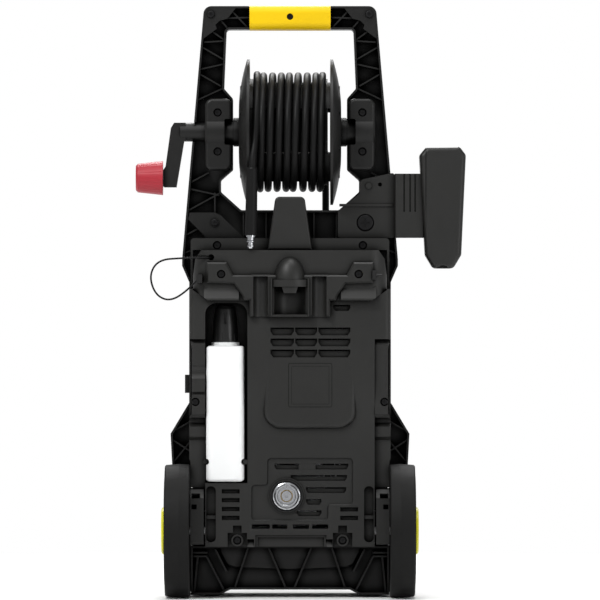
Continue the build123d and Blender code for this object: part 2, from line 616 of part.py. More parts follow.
# ---------------------------------------------------------------- holster
BRACKET = [(105, 623), (105, 605), (72, 578), (72, 538), (157, 538), (157, 636), (110, 626)]
HOLSTER_X0 = 194.0
HOLSTER_BACK, HOLSTER_FRONT = -54.0, 6.0
HOLSTER_TOP = 673.8
POCKET = [(204, HOLSTER_TOP), (254, HOLSTER_TOP + 0.5), (HOLSTER_OUTER, 662), (256.5, 512), (244.5, 492),
          (214.5, 492), (202.5, 512), (HOLSTER_X0, 662)]


def holster_bracket():
    face = outline(BRACKET, 4)
    plate = prism(face, FRAME_REAR - 9, FRAME_REAR - 0.3)
    core = offset(face, amount=-WALL)
    plate -= prism(core, FRAME_REAR - 5.5, FRAME_REAR)
    plate += block(74, 154, FRAME_REAR - 10.5, FRAME_REAR - 8, 585, 589)
    x, z = BRACKET_SCREW
    plate += rod_y(15, FRAME_REAR - 8, FRAME_REAR - 0.3, x, z)
    plate -= rod_y(13.2, FRAME_REAR - 11, FRAME_REAR - 5, x, z)
    plate -= rod_y(SHANK_R + 0.05, -40, -10, x, z)
    plate += rod_y(4.5, FRAME_REAR - 11.5, FRAME_REAR - 8, 118, 616)
    plate -= rod_y(3.0, -40, -20, 135, 618)
    return plate


def holster_arm():
    """A ribbed arm between the bracket and the holster."""
    arm = block(157.1, 201.5, -46, -2, 538, 634)
    arm = fillet(arm.edges().filter_by(Axis.Z), 3)
    arm -= block(160, 198.5, -42, 0, 541, 631)
    for x in (171, 180, 187.5):
        arm -= block(x - 1.2, x + 1.2, -47, -44.4, 577, 635)
    for x in (170, 185):
        arm += block(x - 1.2, x + 1.2, -44, -4, 539, 633)
    arm -= prism(offset(handle_solid(), amount=0.4), FRAME_REAR - 0.4, FRAME_FRONT)
    return arm - prism(outline(POCKET, 8), HOLSTER_BACK - 1, HOLSTER_FRONT + 1)


def holster():
    """A tapered pocket for the spray gun, open above and partly open below."""
    face = outline(POCKET, 8)
    shell = prism(face, HOLSTER_BACK, HOLSTER_FRONT)
    shell = fillet(shell.edges().group_by(Axis.Y)[0], 7)
    shell -= prism(offset(face, amount=-WALL), HOLSTER_BACK + WALL, HOLSTER_FRONT - WALL)
    shell -= block(204, 252, HOLSTER_BACK + WALL, HOLSTER_FRONT - WALL, 640, 700)
    shell -= block(214, 245, HOLSTER_BACK + 9, HOLSTER_FRONT - 9, 480, 500)
    shell -= rod_y(13, HOLSTER_BACK - 1, HOLSTER_BACK + 10, 229.5, 483.5)
    shell -= block(215, 245, HOLSTER_FRONT - 10, HOLSTER_FRONT + 1, 560, 700)
    return shell - block(202.8, 204.2, HOLSTER_BACK - 1, HOLSTER_BACK + 0.8, 512, 668)


# ---------------------------------------------------------------- body covers
COVER_FRONT = -24.0
TONGUE_HALF, TONGUE_LOW = 60.0, 420.0
COVER_SIDE = [(-24, 77), (-97, 77), (-97, 262), (-105, 318), (-105, 470), (-24, 470)]
COVER_ROOM = [(0, 80), (-94, 80), (-94, 262.5), (-102, 318.3), (-102, 440.5), (0, 440.5)]
COVER_HALF, SHOULDER_HALF, SHOULDER_LOW = 126.2, 150.2, 386.5
HUMP = [(-39.6, 419.0), (98.7, 419.0), (98.7, 253.0), (-39.6, 253.0)]
BIG_SLOTS_Z = (398.0, 381.6, 365.1)
LABEL_PLATE = (-2.5, 63.0, 285.0, 351.0)
PANEL = [(-24, 208.6), (93, 208.6), (93, 140.2), (56.2, 140.2), (56.2, 117.2), (-56.6, 117.2),
         (-56.6, 168.7), (-33, 168.7), (-33, 208.6)]
PANEL_SLOTS = [(-23, 87, 196.6), (1, 85, 179.6), (24, 84, 161.5), (24, 47, 143.9), (10, 47, 127.0)]
ROW_SLOTS = [(-56.6, -30), (-26.4, -4), (4.5, 28.5), (33, 57)]
SMALL_SLOTS = [(-101.6, -75, z) for z in (159.6, 146.5, 133.2, 120.1)]
SMALL_SLOTS += [(75, 101.6, z) for z in (132.8, 120)]
LOW_SCREWS = [(-78.5, 86.3), (78.5, 86.3)]
LOW_SEAT = PANEL_FACE + 11.0


def louvre(x0, x1, z, height, lean=0.0):
    """A closed louvre: a shallow pocket of the slot's outline with a thin slit along its top."""
    pocket = prism(slot(x0, x1, z, height, lean), REAR_FACE - 15, REAR_FACE)
    slit = prism(slot(x0 + 2, x1 - 2, z + height / 2 - 1.3, 2.0, 0.1), REAR_FACE - 15, REAR_FACE + 30)
    return pocket, slit


def sink(cover, louvres, face_y, deep):
    """Cuts louvres into a face that has a backing behind it."""
    for pocket, slit in louvres:
        cover -= Pos(0, face_y + deep - REAR_FACE, 0) * pocket
        cover -= slit
    return cover


def rear_cover():
    low = TONGUE_LOW - GAP
    notch = TONGUE_HALF + GAP
    face = outline(mirrored([(notch, low), (notch, 443.5), (121.8, 443.5), (144.2, 459.4), (144.9, 461.4),
                             (SHOULDER_HALF, 461.4), (SHOULDER_HALF, SHOULDER_LOW),
                             (COVER_HALF, SHOULDER_LOW), (COVER_HALF, 77)]))
    plan = make_face(Polyline((-SHOULDER_HALF, -24), (SHOULDER_HALF, -24), (SHOULDER_HALF, -105),
                              (-SHOULDER_HALF, -105), close=True))
    plan = fillet(plan.vertices().group_by(Axis.Y)[0], 9)
    cover = prism(face, REAR_FACE - 1, COVER_FRONT) & prism_z(plan, 70, 470)
    side = outline(COVER_SIDE)
    side = fillet([v for v in side.vertices() if v.X < -90 and 200 < v.Y < 400], 330)
    cover &= prism_x(side, -160, 160)
    room = prism_x(outline(COVER_ROOM), -COVER_HALF + WALL, COVER_HALF - WALL)
    room -= block(-notch - WALL, notch + WALL, -130, 10, low - WALL, 450)
    shoulder = block(-SHOULDER_HALF + WALL, SHOULDER_HALF - WALL, REAR_FACE + 9, 0,
                     SHOULDER_LOW + WALL, 440.5)
    cover -= room + (shoulder - block(-notch - WALL, notch + WALL, -130, 10, low - WALL, 450))
    # the plate that stands proud where the cover falls away below it
    hump_face = outline(HUMP)
    hump_face = fillet(hump_face.vertices().group_by(Axis.Y)[0], 27)
    hump = prism(hump_face, REAR_FACE, PANEL_FACE + 0.5)
    hump = fillet(hump.edges().group_by(Axis.Y)[0].filter_by_position(Axis.Z, 200, 345), 7.5)
    cover += hump
    cover -= prism(offset(hump_face, amount=-7), REAR_FACE + WALL, PANEL_FACE + WALL + 1)
    # the bay for the detergent bottle
    bay = outline([(BAY_X0, BAY_Z0), (BAY_X1, BAY_Z0), (BAY_X1, BAY_Z1), (BAY_X0, BAY_Z1)])
    bay = fillet(bay.vertices().group_by(Axis.Y)[-1], 17)
    back = BAY_BACK + WALL
    front = PANEL_FACE + 1
    cover += block(BAY_X1, BAY_X1 + WALL, front, back, BAY_Z0 - WALL, 443)
    cover += block(BAY_X0, BAY_X1 + WALL, BAY_BACK, back, BAY_Z0 - WALL, 443)
    cover += block(BAY_X0, BAY_X1 + WALL, front, back, BAY_Z0 - WALL, BAY_Z0)
    cover += block(BAY_X0 - WALL, BAY_X1 + WALL, front - 6, back, BAY_Z1 - 14, 443.4)
    cover += block(BAY_X0 - WALL, BAY_X0, front - 6, back, SHOULDER_LOW, 443)
    cover -= prism(bay, -150, BAY_BACK)
    cover -= block(BAY_X0 - 1, BAY_X0 + 5, -150, BAY_BACK, BAY_Z0, SHOULDER_LOW)
    for x in (-110, -83):
        cover += block(x - 2, x + 2, front, back - 1, BAY_Z0 - 1, BOTTLE_Z0 - GAP)
    cover += rod_y(3.6, PANEL_FACE - 0.5, PANEL_FACE + 12, BAY_X1 - 3.3, BOTTLE_NOTCH_Z)
    # upper louvres with their backing
    cover += block(-33, 93, REAR_FACE + 2, REAR_FACE + 9, 355, 408)
    rows = [louvre(x0, x1, z, 11.6, 4) for z in BIG_SLOTS_Z for x0, x1 in ((-29, 6), (7.8, 40.6), (42.4, 90))]
    cover = sink(cover, rows, REAR_FACE, 5.0)
    cover += block(63, 93, REAR_FACE + 2, REAR_FACE + 9, 425, 441)
    cover = sink(cover, [louvre(64.5, 90, 433, 9, 3)], REAR_FACE, 5.0)
    x0, x1, z0, z1 = LABEL_PLATE
    field = Pos((x0 + x1) / 2, (z0 + z1) / 2) * RectangleRounded(x1 - x0, z1 - z0, 3)
    cover -= prism(field - offset(field, amount=-1.0), REAR_FACE - 1, REAR_FACE + 0.5)
    inner = Pos((x0 + x1) / 2, (z0 + z1) / 2) * RectangleRounded(x1 - x0 - 9, z1 - z0 - 9, 1)
    cover -= prism(inner - offset(inner, amount=-0.7), REAR_FACE - 1, REAR_FACE + 0.3)
    # lower panel: sunk a little, with louvres inside it
    cover += block(-60, 97, PANEL_FACE + 2, PANEL_FACE + 9, 100, 212)
    for x0, x1 in ((-104, -72), (72, 104)):
        cover += block(x0, x1, PANEL_FACE + 2, PANEL_FACE + 8, 114, 165)
    panel = outline(PANEL, 5)
    sunk = prism(offset(panel, amount=1.0), PANEL_FACE - 4, PANEL_FACE + 2.2)
    cover -= chamfer(sunk.edges().group_by(Axis.Y)[-1], 1.4)
    rows = [louvre(x0, x1, z, 8.6, 3) for x0, x1, z in PANEL_SLOTS]
    cover = sink(cover, rows, PANEL_FACE, 6.0)
    cover = sink(cover, [louvre(x0, x1, z, 6.3, 0.1) for x0, x1, z in SMALL_SLOTS], PANEL_FACE, 4.5)
    cover += block(12.8, 38.2, PANEL_FACE + 2.6, PANEL_FACE + 8, 190, 202)
    for x0, x1 in ROW_SLOTS:
        cover -= prism(slot(x0, x1, 107.2, 6.6), PANEL_FACE - 1, PANEL_FACE + 11)
    # upright recesses beside the wheels
    for x in (-117.7, 117.7):
        upright = Pos(x, 125.5) * RectangleRounded(14.4, 83.5, 6.8)
        back_wall = Pos(x, 125.5) * RectangleRounded(17.0, 92, 6)
        cover += prism(back_wall, PANEL_FACE + 1, PANEL_FACE + 12)
        cover -= prism(upright - (Pos(x, 121) * Rectangle(20, 5)), PANEL_FACE - 1, PANEL_FACE + 9)
        cover -= prism(upright, PANEL_FACE - 1, PANEL_FACE + 3)
    # lower edge: screw recesses, bright bevels and the middle recess
    cover += block(-110, 110, PANEL_FACE + 2, PANEL_FACE + 10, 77, 98)
    for x, z in LOW_SCREWS:
        cover += block(x - 17, x + 17, PANEL_FACE + 2, PANEL_FACE + 13, 77, 112)
        cover += rod_y(BOSS_R, PANEL_FACE + 5, LOW_SEAT + 8, x, z)
        recess = outline([(x - 14.5, 97.8), (x - 6.5, 97.8), (x - 6.5, 108.7), (x + 6.5, 108.7),
                          (x + 6.5, 97.8), (x + 14.5, 97.8), (x + 14.5, 76), (x - 14.5, 76)])
        cover -= prism(recess, PANEL_FACE - 1, PANEL_FACE + 8)
        collar = prism(Pos(x, z) * Circle(9), PANEL_FACE + 4, PANEL_FACE + 9)
        cover += collar & block(-150, 150, -150, 0, 77, 200)
        cover -= rod_y(SCREW_HOLE_R, PANEL_FACE - 30, LOW_SEAT, x, z)
        cover -= rod_y(SHANK_R + 0.05, PANEL_FACE - 1, LOW_SEAT + 10, x, z)
    for x0, x1 in ((-63.6, -53.4), (53.4, 63.6)):
        wedge = outline([(-99, 88.3), (-90, 88.3), (-97.5, 76), (-99, 76)])
        cover -= prism_x(wedge, x0, x1)
    belly = outline([(-51.5, 94.5), (54.5, 94.5), (54.5, 76), (-51.5, 76)])
    cover -= prism(belly, PANEL_FACE - 1, PANEL_FACE + 2.5)
    cover -= prism(offset(belly, amount=-3.5) + Rectangle(99, 4).moved(Location((1.5, 78))),
                   PANEL_FACE - 1, PANEL_FACE + 6)
    cover -= rod_x(AXLE_R + 0.6, -140, 140, WHEEL_Y, WHEEL_Z)
    # round opening for the water inlet
    cover += rod_y(27.5, PANEL_FACE + 1, PANEL_FACE + 22, INLET_X, INLET_Z)
    cover -= rod_y(24.5, PANEL_FACE - 2, PANEL_FACE + 23, INLET_X, INLET_Z)
    return cover


UPPER_SIDE = 144.5
UPPER_EDGE = [(132, BULGE_TOP), (141, 506), (UPPER_SIDE, 480), (UPPER_SIDE, 460), (122, BULGE_LOW),
              (TONGUE_HALF, BULGE_LOW), (TONGUE_HALF, TONGUE_LOW)]
PLATE_EDGE = [(84.5, 482), (94.5, 501), (124, 501), (124, 470), (83, 469), (72, 453), (68, 444.2),
              (TONGUE_HALF, 444.2), (TONGUE_HALF, TONGUE_LOW)]
UPPER_SCREWS = [(-102.3, 483.3), (102.3, 483.3)]
LANCE_XS = (-43.6, 43.6)
WING_R = 26.0


def upper_loaf(shrink=0.0):
    """The upper cover's outer form without its raised plates; shrink makes the room inside it."""
    side = UPPER_SIDE - shrink
    rear = BAND_FACE + shrink
    plan = make_face(Polyline((-side, 0), (side, 0), (side, rear), (-side, rear), close=True))
    plan = fillet(plan.vertices().group_by(Axis.Y)[0], WING_R - shrink)
    face = outline(mirrored(UPPER_EDGE))
    if shrink:
        return prism(offset(face, amount=-shrink, kind=Kind.INTERSECTION), -150, 0) & prism_z(plan, 400, 530)
    return prism(face, -150, COVER_FRONT) & prism_z(plan, 400, 530)


def upper_cover():
    body = upper_loaf()
    plate_face = outline(mirrored(PLATE_EDGE))
    plates = prism(plate_face, BULGE_FACE, BAND_FACE + 8)
    plates = chamfer(plates.edges().group_by(Axis.Y)[0], 2.6)
    lip_edge = outline([(-100, 470), (-108, 468.5), (-119, 447), (-119, 444.2), (-100, 444.2)])
    lips = prism_x(lip_edge, -128, -76) + prism_x(lip_edge, 76, 128)
    body += plates + (lips & prism(outline(mirrored(UPPER_EDGE)), -150, COVER_FRONT))
    body -= upper_loaf(WALL)
    body -= prism(offset(plate_face, amount=-4), BULGE_FACE + 4, BAND_FACE + 8)
    body = bossed(body, UPPER_SCREWS, BULGE_FACE)
    # two half-round lance channels and the wide one between them
    behind = block(-90, 90, BULGE_FACE + 2, -60, TONGUE_LOW, 484)
    for x, radius, high in ((LANCE_XS[0], 11.0, 480), (LANCE_XS[1], 11.0, 480), (0.0, 23.5, 466)):
        body += rod_z(radius + WALL, TONGUE_LOW, high + WALL, x, BULGE_FACE) & behind
    for x in LANCE_XS:
        body -= rod_z(11.0, TONGUE_LOW - 1, 480, x, BULGE_FACE)
    body -= rod_z(23.5, 423.5, 466, 0, BULGE_FACE)
    for x in (-27.5, 27.5):
        body += block(x - 1.2, x + 1.2, BULGE_FACE - 3, BULGE_FACE + 2, TONGUE_LOW, 477)
    body += block(-26, 26, BULGE_FACE - 3, BULGE_FACE + 2, TONGUE_LOW, 423)
    # dome, collar and tab over the wide channel
    dome = Pos(0, BAND_FACE, 474) * scale(Sphere(22.8), by=(1, 0.85, 1.5))
    body += dome & block(-40, 40, -160, BAND_FACE + 1, 475, 520)
    collar = rod_z(34, 464.5, 475, 0, -97) & block(-26, 26, -160, -100, 460, 480)
    tab = prism(outline([(-12, 465), (12, 465), (9, 455), (-9, 455)]), -160, -96)
    return body + collar + (tab & rod_z(32.5, 450, 470, 0, -97)) - leash_slot()


def leash_slot():
    """The keyhole on the left wing that the wire's end goes into."""
    return block(-140, -117.3, -130, BAND_FACE + 10, 505.8, 510.8) + \
        rod_y(4.6, -130, BAND_FACE + 10, -117.3, 508.3)


def wire_anchor():
    """The small block on the left wing that holds the wire's lower end."""
    anchor = block(-139, -130.5, -122, -95, 470, 483)
    anchor = fillet(anchor.edges().filter_by(Axis.Y), 2)
    return anchor - upper_loaf()


def small_clip():
    """The clip with a pin on the right wing."""
    clip = block(122.5, 128, -121, -100, 475, 489) + rod_x(1.6, 127, 137, -117, 482)
    return clip - upper_cover()


LEDGE_SCREWS = [(-108.9, 526.6), (108.9, 526.6)]
LEDGE_EDGE = [(148.2, LEDGE_TOP), (148.2, 462.2), (144.9, 462.2), (144.9, LEDGE_LOW)]
TOWER = [(21.75, 598.8), (33.0, LEDGE_LOW - 0.2)]
TOWER_REAR, TOWER_FRONT = -96.0, -50.0


def ledge_cover():
    face = outline(mirrored(LEDGE_EDGE))
    face = fillet(face.vertices().group_by(Axis.Y)[-1], 5)
    ledge = prism(face, LEDGE_FACE, COVER_FRONT)
    for x, z in LEDGE_SCREWS:
        ledge -= rod_y(SCREW_HOLE_R, LEDGE_FACE - 5, LEDGE_FACE + SCREW_SINK, x, z)
        ledge -= rod_y(SHANK_R + 0.05, LEDGE_FACE - 5, LEDGE_FACE + 25, x, z)
    ledge -= block(-92, 92, LEDGE_FACE + 5, COVER_FRONT + 1, LEDGE_LOW - 1, LEDGE_TOP - WALL)
    tower = outline(mirrored(TOWER))
    return ledge - prism(offset(tower, amount=GAP, kind=Kind.INTERSECTION), TOWER_REAR - 1, TOWER_FRONT + GAP)


def hose_hook():
    """The tapered post between the reel and the body."""
    face = outline(mirrored(TOWER))
    face = fillet(face.vertices().group_by(Axis.Y)[-1], 7.5)
    post = prism(face, TOWER_REAR, TOWER_FRONT)
    post = fillet(post.edges().group_by(Axis.Y)[0], 3)
    return post - prism(offset(face, amount=-WALL), TOWER_REAR + WALL, TOWER_FRONT + 1)


COLUMN_SCREWS = [(-140.8, 293.0), (140.8, 293.0)]
COLUMN_FACE = -101.0
COLUMN_LOW = 165.0
COLUMN_SIDE = [(-24, COLUMN_LOW), (-80, COLUMN_LOW), (-84, 236), (-91, 241), (-91, 256), (-84, 262),
               (-84, 267), (-97, 270), (COLUMN_FACE, 275), (COLUMN_FACE, 378), (-97, 385.5), (-24, 386.2)]


def side_columns():
    """The upright blocks between the rear cover's edges and the outer edges of the frame."""
    x0, x1 = SPLIT_X, 150.2
    body = prism_x(outline(COLUMN_SIDE), x0, x1)
    body -= block(x0 + WALL, x1 - WALL, -76, 0, COLUMN_LOW + WALL, 382)
    body -= block(x0 + WALL, x1 - WALL, COLUMN_FACE + 4, 0, 280, 374)
    x, z = COLUMN_SCREWS[1]
    body += rod_y(BOSS_R, COLUMN_FACE + 1, COLUMN_FACE + BOSS_LONG, x, z) & block(x0, x1, -200, 0, 0, 500)
    body -= rod_y(SCREW_HOLE_R, COLUMN_FACE - 5, COLUMN_FACE + SCREW_SINK, x, z)
    body -= rod_y(SHANK_R + 0.05, COLUMN_FACE - 1, COLUMN_FACE + BOSS_LONG + 1, x, z)
    body -= block(148.6, 160, -120, 0, 150, 206)
    outer_edge = prism(outline([(x1 + 1, 400), (x1 + 1, 268), (x1 - 4, 276), (x1 - 4, 372)]), -110, -93)
    body -= outer_edge
    left = mirror(body, about=Plane.YZ)
    left -= rod_x(14, -160, -120, COLUMN_FACE - 10, 337.5)
    left -= block(-160, -120, COLUMN_FACE - 1, COLUMN_FACE + 3, 304, 308)
    left += block(-156.8, -149.5, -76, -50, 306, 333)
    left += rod_y(3.6, -88, -76, BAY_X0 + 0.2, BOTTLE_NOTCH_Z) & block(-131, -110, -95, -70, 190, 215)
    return body + left


FRONT_OUTLINE = [(122, 545), (150, 515), (152, 480), (152, 226), (146.4, 212), (146.4, 77)]
SWITCH_Z = 468.0
SWITCH_R = 25.0


def front_cover():
    face = outline(mirrored(FRONT_OUTLINE))
    face = fillet([v for v in face.vertices() if v.Y > 500], 14)
    shell = prism(face, FRAME_FRONT + GAP, FRONT_FACE)
    shell = fillet(shell.edges().group_by(Axis.Y)[-1], 18)
    core = prism(offset(face, amount=-WALL), FRAME_FRONT, FRONT_FACE - WALL)
    core = fillet(core.edges().group_by(Axis.Y)[-1], 15)
    shell -= core
    # round seat of the switch and of the outlet
    shell += rod_y(SWITCH_R + 5, FRONT_FACE - 20, FRONT_FACE - 1, 0, SWITCH_Z)
    shell -= rod_y(SWITCH_R + 1, FRONT_FACE - 16, FRONT_FACE + 1, 0, SWITCH_Z)
    shell -= rod_y(6.1, FRONT_FACE - 30, FRONT_FACE + 1, 0, SWITCH_Z)
    shell += rod_z(14, 530, OUTLET_SEAT - 0.1, OUTLET_X, OUTLET_Y)
    shell -= rod_z(8.1, 520, 560, OUTLET_X, OUTLET_Y)
    # intake louvres low on the front and on both sides
    for k in range(4):
        shell -= prism(slot(-52, 52, 210 + 12 * k, 6, 3), FRONT_FACE - 6, FRONT_FACE + 1)
    for k in range(6):
        z = 130 + 13 * k
        shell -= block(-160, 160, 50, 100, z - 2.6, z + 2.6) & block(-160, 160, 0, 200, 120, 200)
    shell -= rod_x(8.1, 130, 160, 82, 100)
    # field for the trim
    shell -= prism(outline(TRIM_FIELD, 12), FRONT_FACE - 1.2, FRONT_FACE + 1)
    return shell


TRIM_FIELD = [(-92, 430), (92, 430), (72, 262), (-72, 262)]


def front_trim():
    face = offset(outline(TRIM_FIELD, 12), amount=-0.2)
    trim = prism(face, FRONT_FACE - 1.2, FRONT_FACE + 2.0)
    trim = fillet(trim.edges().group_by(Axis.Y)[-1], 1.5)
    for k in range(3):
        trim -= prism(slot(-44, 44, 292 + 16 * k, 4, 1), FRONT_FACE + 0.6, FRONT_FACE + 5)
    return trim


def switch_knob():
    knob = rod_y(SWITCH_R, FRONT_FACE - 15.6, FRONT_FACE - 6, 0, SWITCH_Z)
    knob = fillet(knob.edges().group_by(Axis.Y)[-1], 2)
    grip_bar = block(-6, 6, FRONT_FACE - 8, FRONT_FACE + 4, SWITCH_Z - SWITCH_R + 2, SWITCH_Z + SWITCH_R - 2)
    knob += fillet(grip_bar.edges().group_by(Axis.Y)[-1], 2.5)
    return knob + rod_y(6.0, FRONT_FACE - 26, FRONT_FACE - 15, 0, SWITCH_Z)


def switch_box():
    box = block(-22, 22, FRONT_FACE - 58, FRONT_FACE - 20, SWITCH_Z - 24, SWITCH_Z + 24)
    box = fillet(box.edges().filter_by(Axis.Y), 3)
    return box - rod_y(6.15, FRONT_FACE - 27, FRONT_FACE - 19, 0, SWITCH_Z)


def cable_gland():
    """The round inlet for the mains lead; the lead itself is not part of the model."""
    y, z = 82.0, 100.0
    gland = lathe_x([(135, 0), (135, 8), (146.5, 8), (146.5, 13), (150, 13), (150, 9), (160, 7),
                     (160, 0)], y, z)
    return gland - rod_x(4.0, 130, 170, y, z)


# ---------------------------------------------------------------- bottle
def bottle():
    wide, deep = BOTTLE_X1 - BOTTLE_X0, BOTTLE_Y1 - BOTTLE_Y0
    cx, cy = (BOTTLE_X0 + BOTTLE_X1) / 2, (BOTTLE_Y0 + BOTTLE_Y1) / 2
    face = Pos(cx, cy) * RectangleRounded(wide, deep, 9)
    body = prism_z(face, BOTTLE_Z0, BOTTLE_SHOULDER)
    body = fillet(body.edges().group_by(Axis.Z)[-1], 5)
    body = fillet(body.edges().group_by(Axis.Z)[0], 5)
    body += rod_z(20.8, BOTTLE_SHOULDER - 1, BOTTLE_SHOULDER + 5, cx, cy)
    body += rod_z(17.5, BOTTLE_SHOULDER - 1, 402, cx, cy)
    inner = prism_z(offset(face, amount=-1.6), BOTTLE_Z0 + 1.6, BOTTLE_SHOULDER - 5)
    body -= inner + rod_z(15.5, BOTTLE_SHOULDER - 7, 403, cx, cy)
    for x, side in ((BOTTLE_X0, -1), (BOTTLE_X1, 1)):
        groove = rod_y(4.8, BOTTLE_Y0 - 1, BOTTLE_Y1 + 1, x + side * 0.4, BOTTLE_NOTCH_Z)
        wall = rod_y(6.4, BOTTLE_Y0 + 8, BOTTLE_Y1 - 8, x + side * 0.4, BOTTLE_NOTCH_Z)
        body += wall & block(BOTTLE_X0 + 0.8, BOTTLE_X1 - 0.8, BOTTLE_Y0, BOTTLE_Y1, 190, 220)
        body -= groove
    return body


def bottle_cap():
    cx, cy = (BOTTLE_X0 + BOTTLE_X1) / 2, (BOTTLE_Y0 + BOTTLE_Y1) / 2
    cap = lathe_z([(0, 438.5), (8, 438), (12.6, 436), (15.4, 431), (16.8, 422), (18.4, 400), (19.0, 386),
                   (19.0, 382.2), (17.8, 382.2), (17.8, 402.2), (0, 402.2)], cx, cy)
    cap -= block(cx - 1.8, cx + 1.8, cy - 30, cy - 7, 409, 425) + rod_y(3.2, cy - 30, cy - 7, cx, 425)
    for k in range(12):
        angle = 2 * math.pi * (k + 0.5) / 12
        cap -= rod_z(0.9, 381, 394, cx + 19.4 * math.cos(angle), cy + 19.4 * math.sin(angle))
    return cap - rod_z(4, 428, 440, cx, cy)


# ---------------------------------------------------------------- water side
def inlet_socket():
    """The round cup in the rear cover that carries the water inlet."""
    cup = lathe_y([(24.2, PANEL_FACE - 1.5), (24.2, PANEL_FACE + 18), (9, PANEL_FACE + 18),
                   (9, PANEL_FACE + 15), (22.6, PANEL_FACE + 15), (22.6, PANEL_FACE - 1.5)],
                  INLET_X, INLET_Z)
    return cup


def inlet_spigot():
    """The threaded pipe from the inlet to the pump."""
    pipe = lathe_y([(0, -86), (7.4, -86), (7.4, -70), (12.5, -70), (12.5, -66), (7.4, -66), (7.4, 20),
                    (0, 20)], INLET_X, INLET_Z)
    pipe += lathe_y([(6, PANEL_FACE + 13), (8.9, PANEL_FACE + 13), (8.9, PANEL_FACE + 25),
                     (6, PANEL_FACE + 25)], INLET_X, INLET_Z)
    return pipe - rod_y(4.5, -100, 19, INLET_X, INLET_Z)


def inlet_nut():
    """The knurled ring that a hose coupling screws into; it turns freely."""
    y0 = PANEL_FACE - 4
    ring = lathe_y([(13.2, y0 + 0.8), (14.0, y0), (16.4, y0), (18.6, y0 + 2.4), (20.4, y0 + 3.4),
                    (20.4, y0 + 16), (9.2, y0 + 16), (9.2, y0 + 13), (13.2, y0 + 13)], INLET_X, INLET_Z)
    for k in range(16):
        angle = 2 * math.pi * k / 16
        ring -= rod_y(1.5, y0 - 1, y0 + 14, INLET_X + 21.1 * math.cos(angle),
                      INLET_Z + 21.1 * math.sin(angle))
    return ring


def inlet_filter():
    """The strainer seated in the mouth of the inlet pipe."""
    cone = lathe_y([(0, -87.9), (7.4, -87.9), (8.0, -87.4), (8.0, -86.2), (4.4, -86.2), (4.4, -78),
                    (0, -78)], INLET_X, INLET_Z)
    return cone - rod_y(2.6, -93, -80, INLET_X, INLET_Z)


# ---------------------------------------------------------------- motor and pump
MOTOR_X, MOTOR_Y = 10.0, 50.0
PLATE_LOW, PLATE_TOP = 240.0, 246.0


def motor_can():
    can = rod_z(58, PLATE_TOP, 410, MOTOR_X, MOTOR_Y)
    can = fillet(can.edges().group_by(Axis.Z)[-1], 6)
    can -= rod_z(54, PLATE_TOP + 4, 406, MOTOR_X, MOTOR_Y)
    can -= rod_z(12, PLATE_TOP - 1, PLATE_TOP + 6, MOTOR_X, MOTOR_Y)
    can -= rod_z(8.2, 404, 412, MOTOR_X, MOTOR_Y)
    for k in range(12):
        vent = Pos(MOTOR_X, MOTOR_Y, 0) * Rot(0, 0, 30 * k) * block(50, 62, -4, 4, 375, 398)
        can -= vent
    return can


def motor_stator():
    ring = rod_z(53.9, 268, 350, MOTOR_X, MOTOR_Y) - rod_z(30, 260, 360, MOTOR_X, MOTOR_Y)
    coils = rod_z(48, 256, 268.2, MOTOR_X, MOTOR_Y) - rod_z(33, 250, 270, MOTOR_X, MOTOR_Y)
    coils += rod_z(48, 349.8, 362, MOTOR_X, MOTOR_Y) - rod_z(33, 340, 370, MOTOR_X, MOTOR_Y)
    return ring + coils


def motor_rotor():
    rotor = rod_z(8.0, 205, 430, MOTOR_X, MOTOR_Y) + rod_z(29.4, 268, 350, MOTOR_X, MOTOR_Y)
    rotor += rod_z(46, 414, 416.4, MOTOR_X, MOTOR_Y) + rod_z(11, 412, 428, MOTOR_X, MOTOR_Y)
    for k in range(9):
        blade = block(12, 45, -1, 1, 416, 428)
        rotor += Pos(MOTOR_X, MOTOR_Y, 0) * Rot(0, 0, 40 * k) * blade
    slug = rod_z(26, 206, 222, MOTOR_X, MOTOR_Y)
    slug -= Pos(MOTOR_X, MOTOR_Y, 206) * Rot(0, 9, 0) * Box(80, 80, 12)
    return rotor + slug


def pump_housing():
    """The round case of the swash plate, with the wide plate that hangs in the chassis."""
    body = block(-111.9, 111.9, FRAME_REAR + 2, 108, PLATE_LOW, PLATE_TOP)
    for side in (-1, 1):
        x0, x1 = sorted((side * 108, side * 111.9))
        body += block(x0, x1, FRAME_REAR + 2, 20, PLATE_LOW - 30, PLATE_LOW + 1)
    body += rod_z(40, 180, PLATE_LOW + 1, MOTOR_X, MOTOR_Y)
    body -= rod_z(34, 196, PLATE_LOW - 4, MOTOR_X, MOTOR_Y)
    body -= rod_z(8.06, PLATE_LOW - 5, PLATE_TOP + 1, MOTOR_X, MOTOR_Y)
    for k in range(3):
        angle = math.radians(120 * k + 30)
        body -= rod_z(6.1, 182, 200, MOTOR_X + 18 * math.cos(angle), MOTOR_Y + 18 * math.sin(angle))
    return body - rod_z(8, 230, 260, 80, 89.7)


def pump_head():
    head = block(MOTOR_X - 42, MOTOR_X + 42, MOTOR_Y - 38, MOTOR_Y + 38, 132, 179.9)
    head = fillet(head.edges().filter_by(Axis.Z), 8)
    head += block(MOTOR_X - 30, MOTOR_X + 30, MOTOR_Y - 26, MOTOR_Y + 30, 80, 133)
    return head - rod_y(7.5, 0, 30, INLET_X, INLET_Z)


PIPE_ROUTE = [(OUTLET_X, OUTLET_Y, 524.0), (OUTLET_X, OUTLET_Y, 470.0), (79.0, 91.0, 420.0),
              (80.5, 89.0, 220.0), (62.0, 66.0, 168.0), (40.0, 62.0, 160.0)]
PIPE_R = 4.5


def outlet_pipe():
    """The metal pipe from the pump head up to the outlet."""
    return tube(PIPE_ROUTE, PIPE_R, "outlet_pipe") - pump_head()


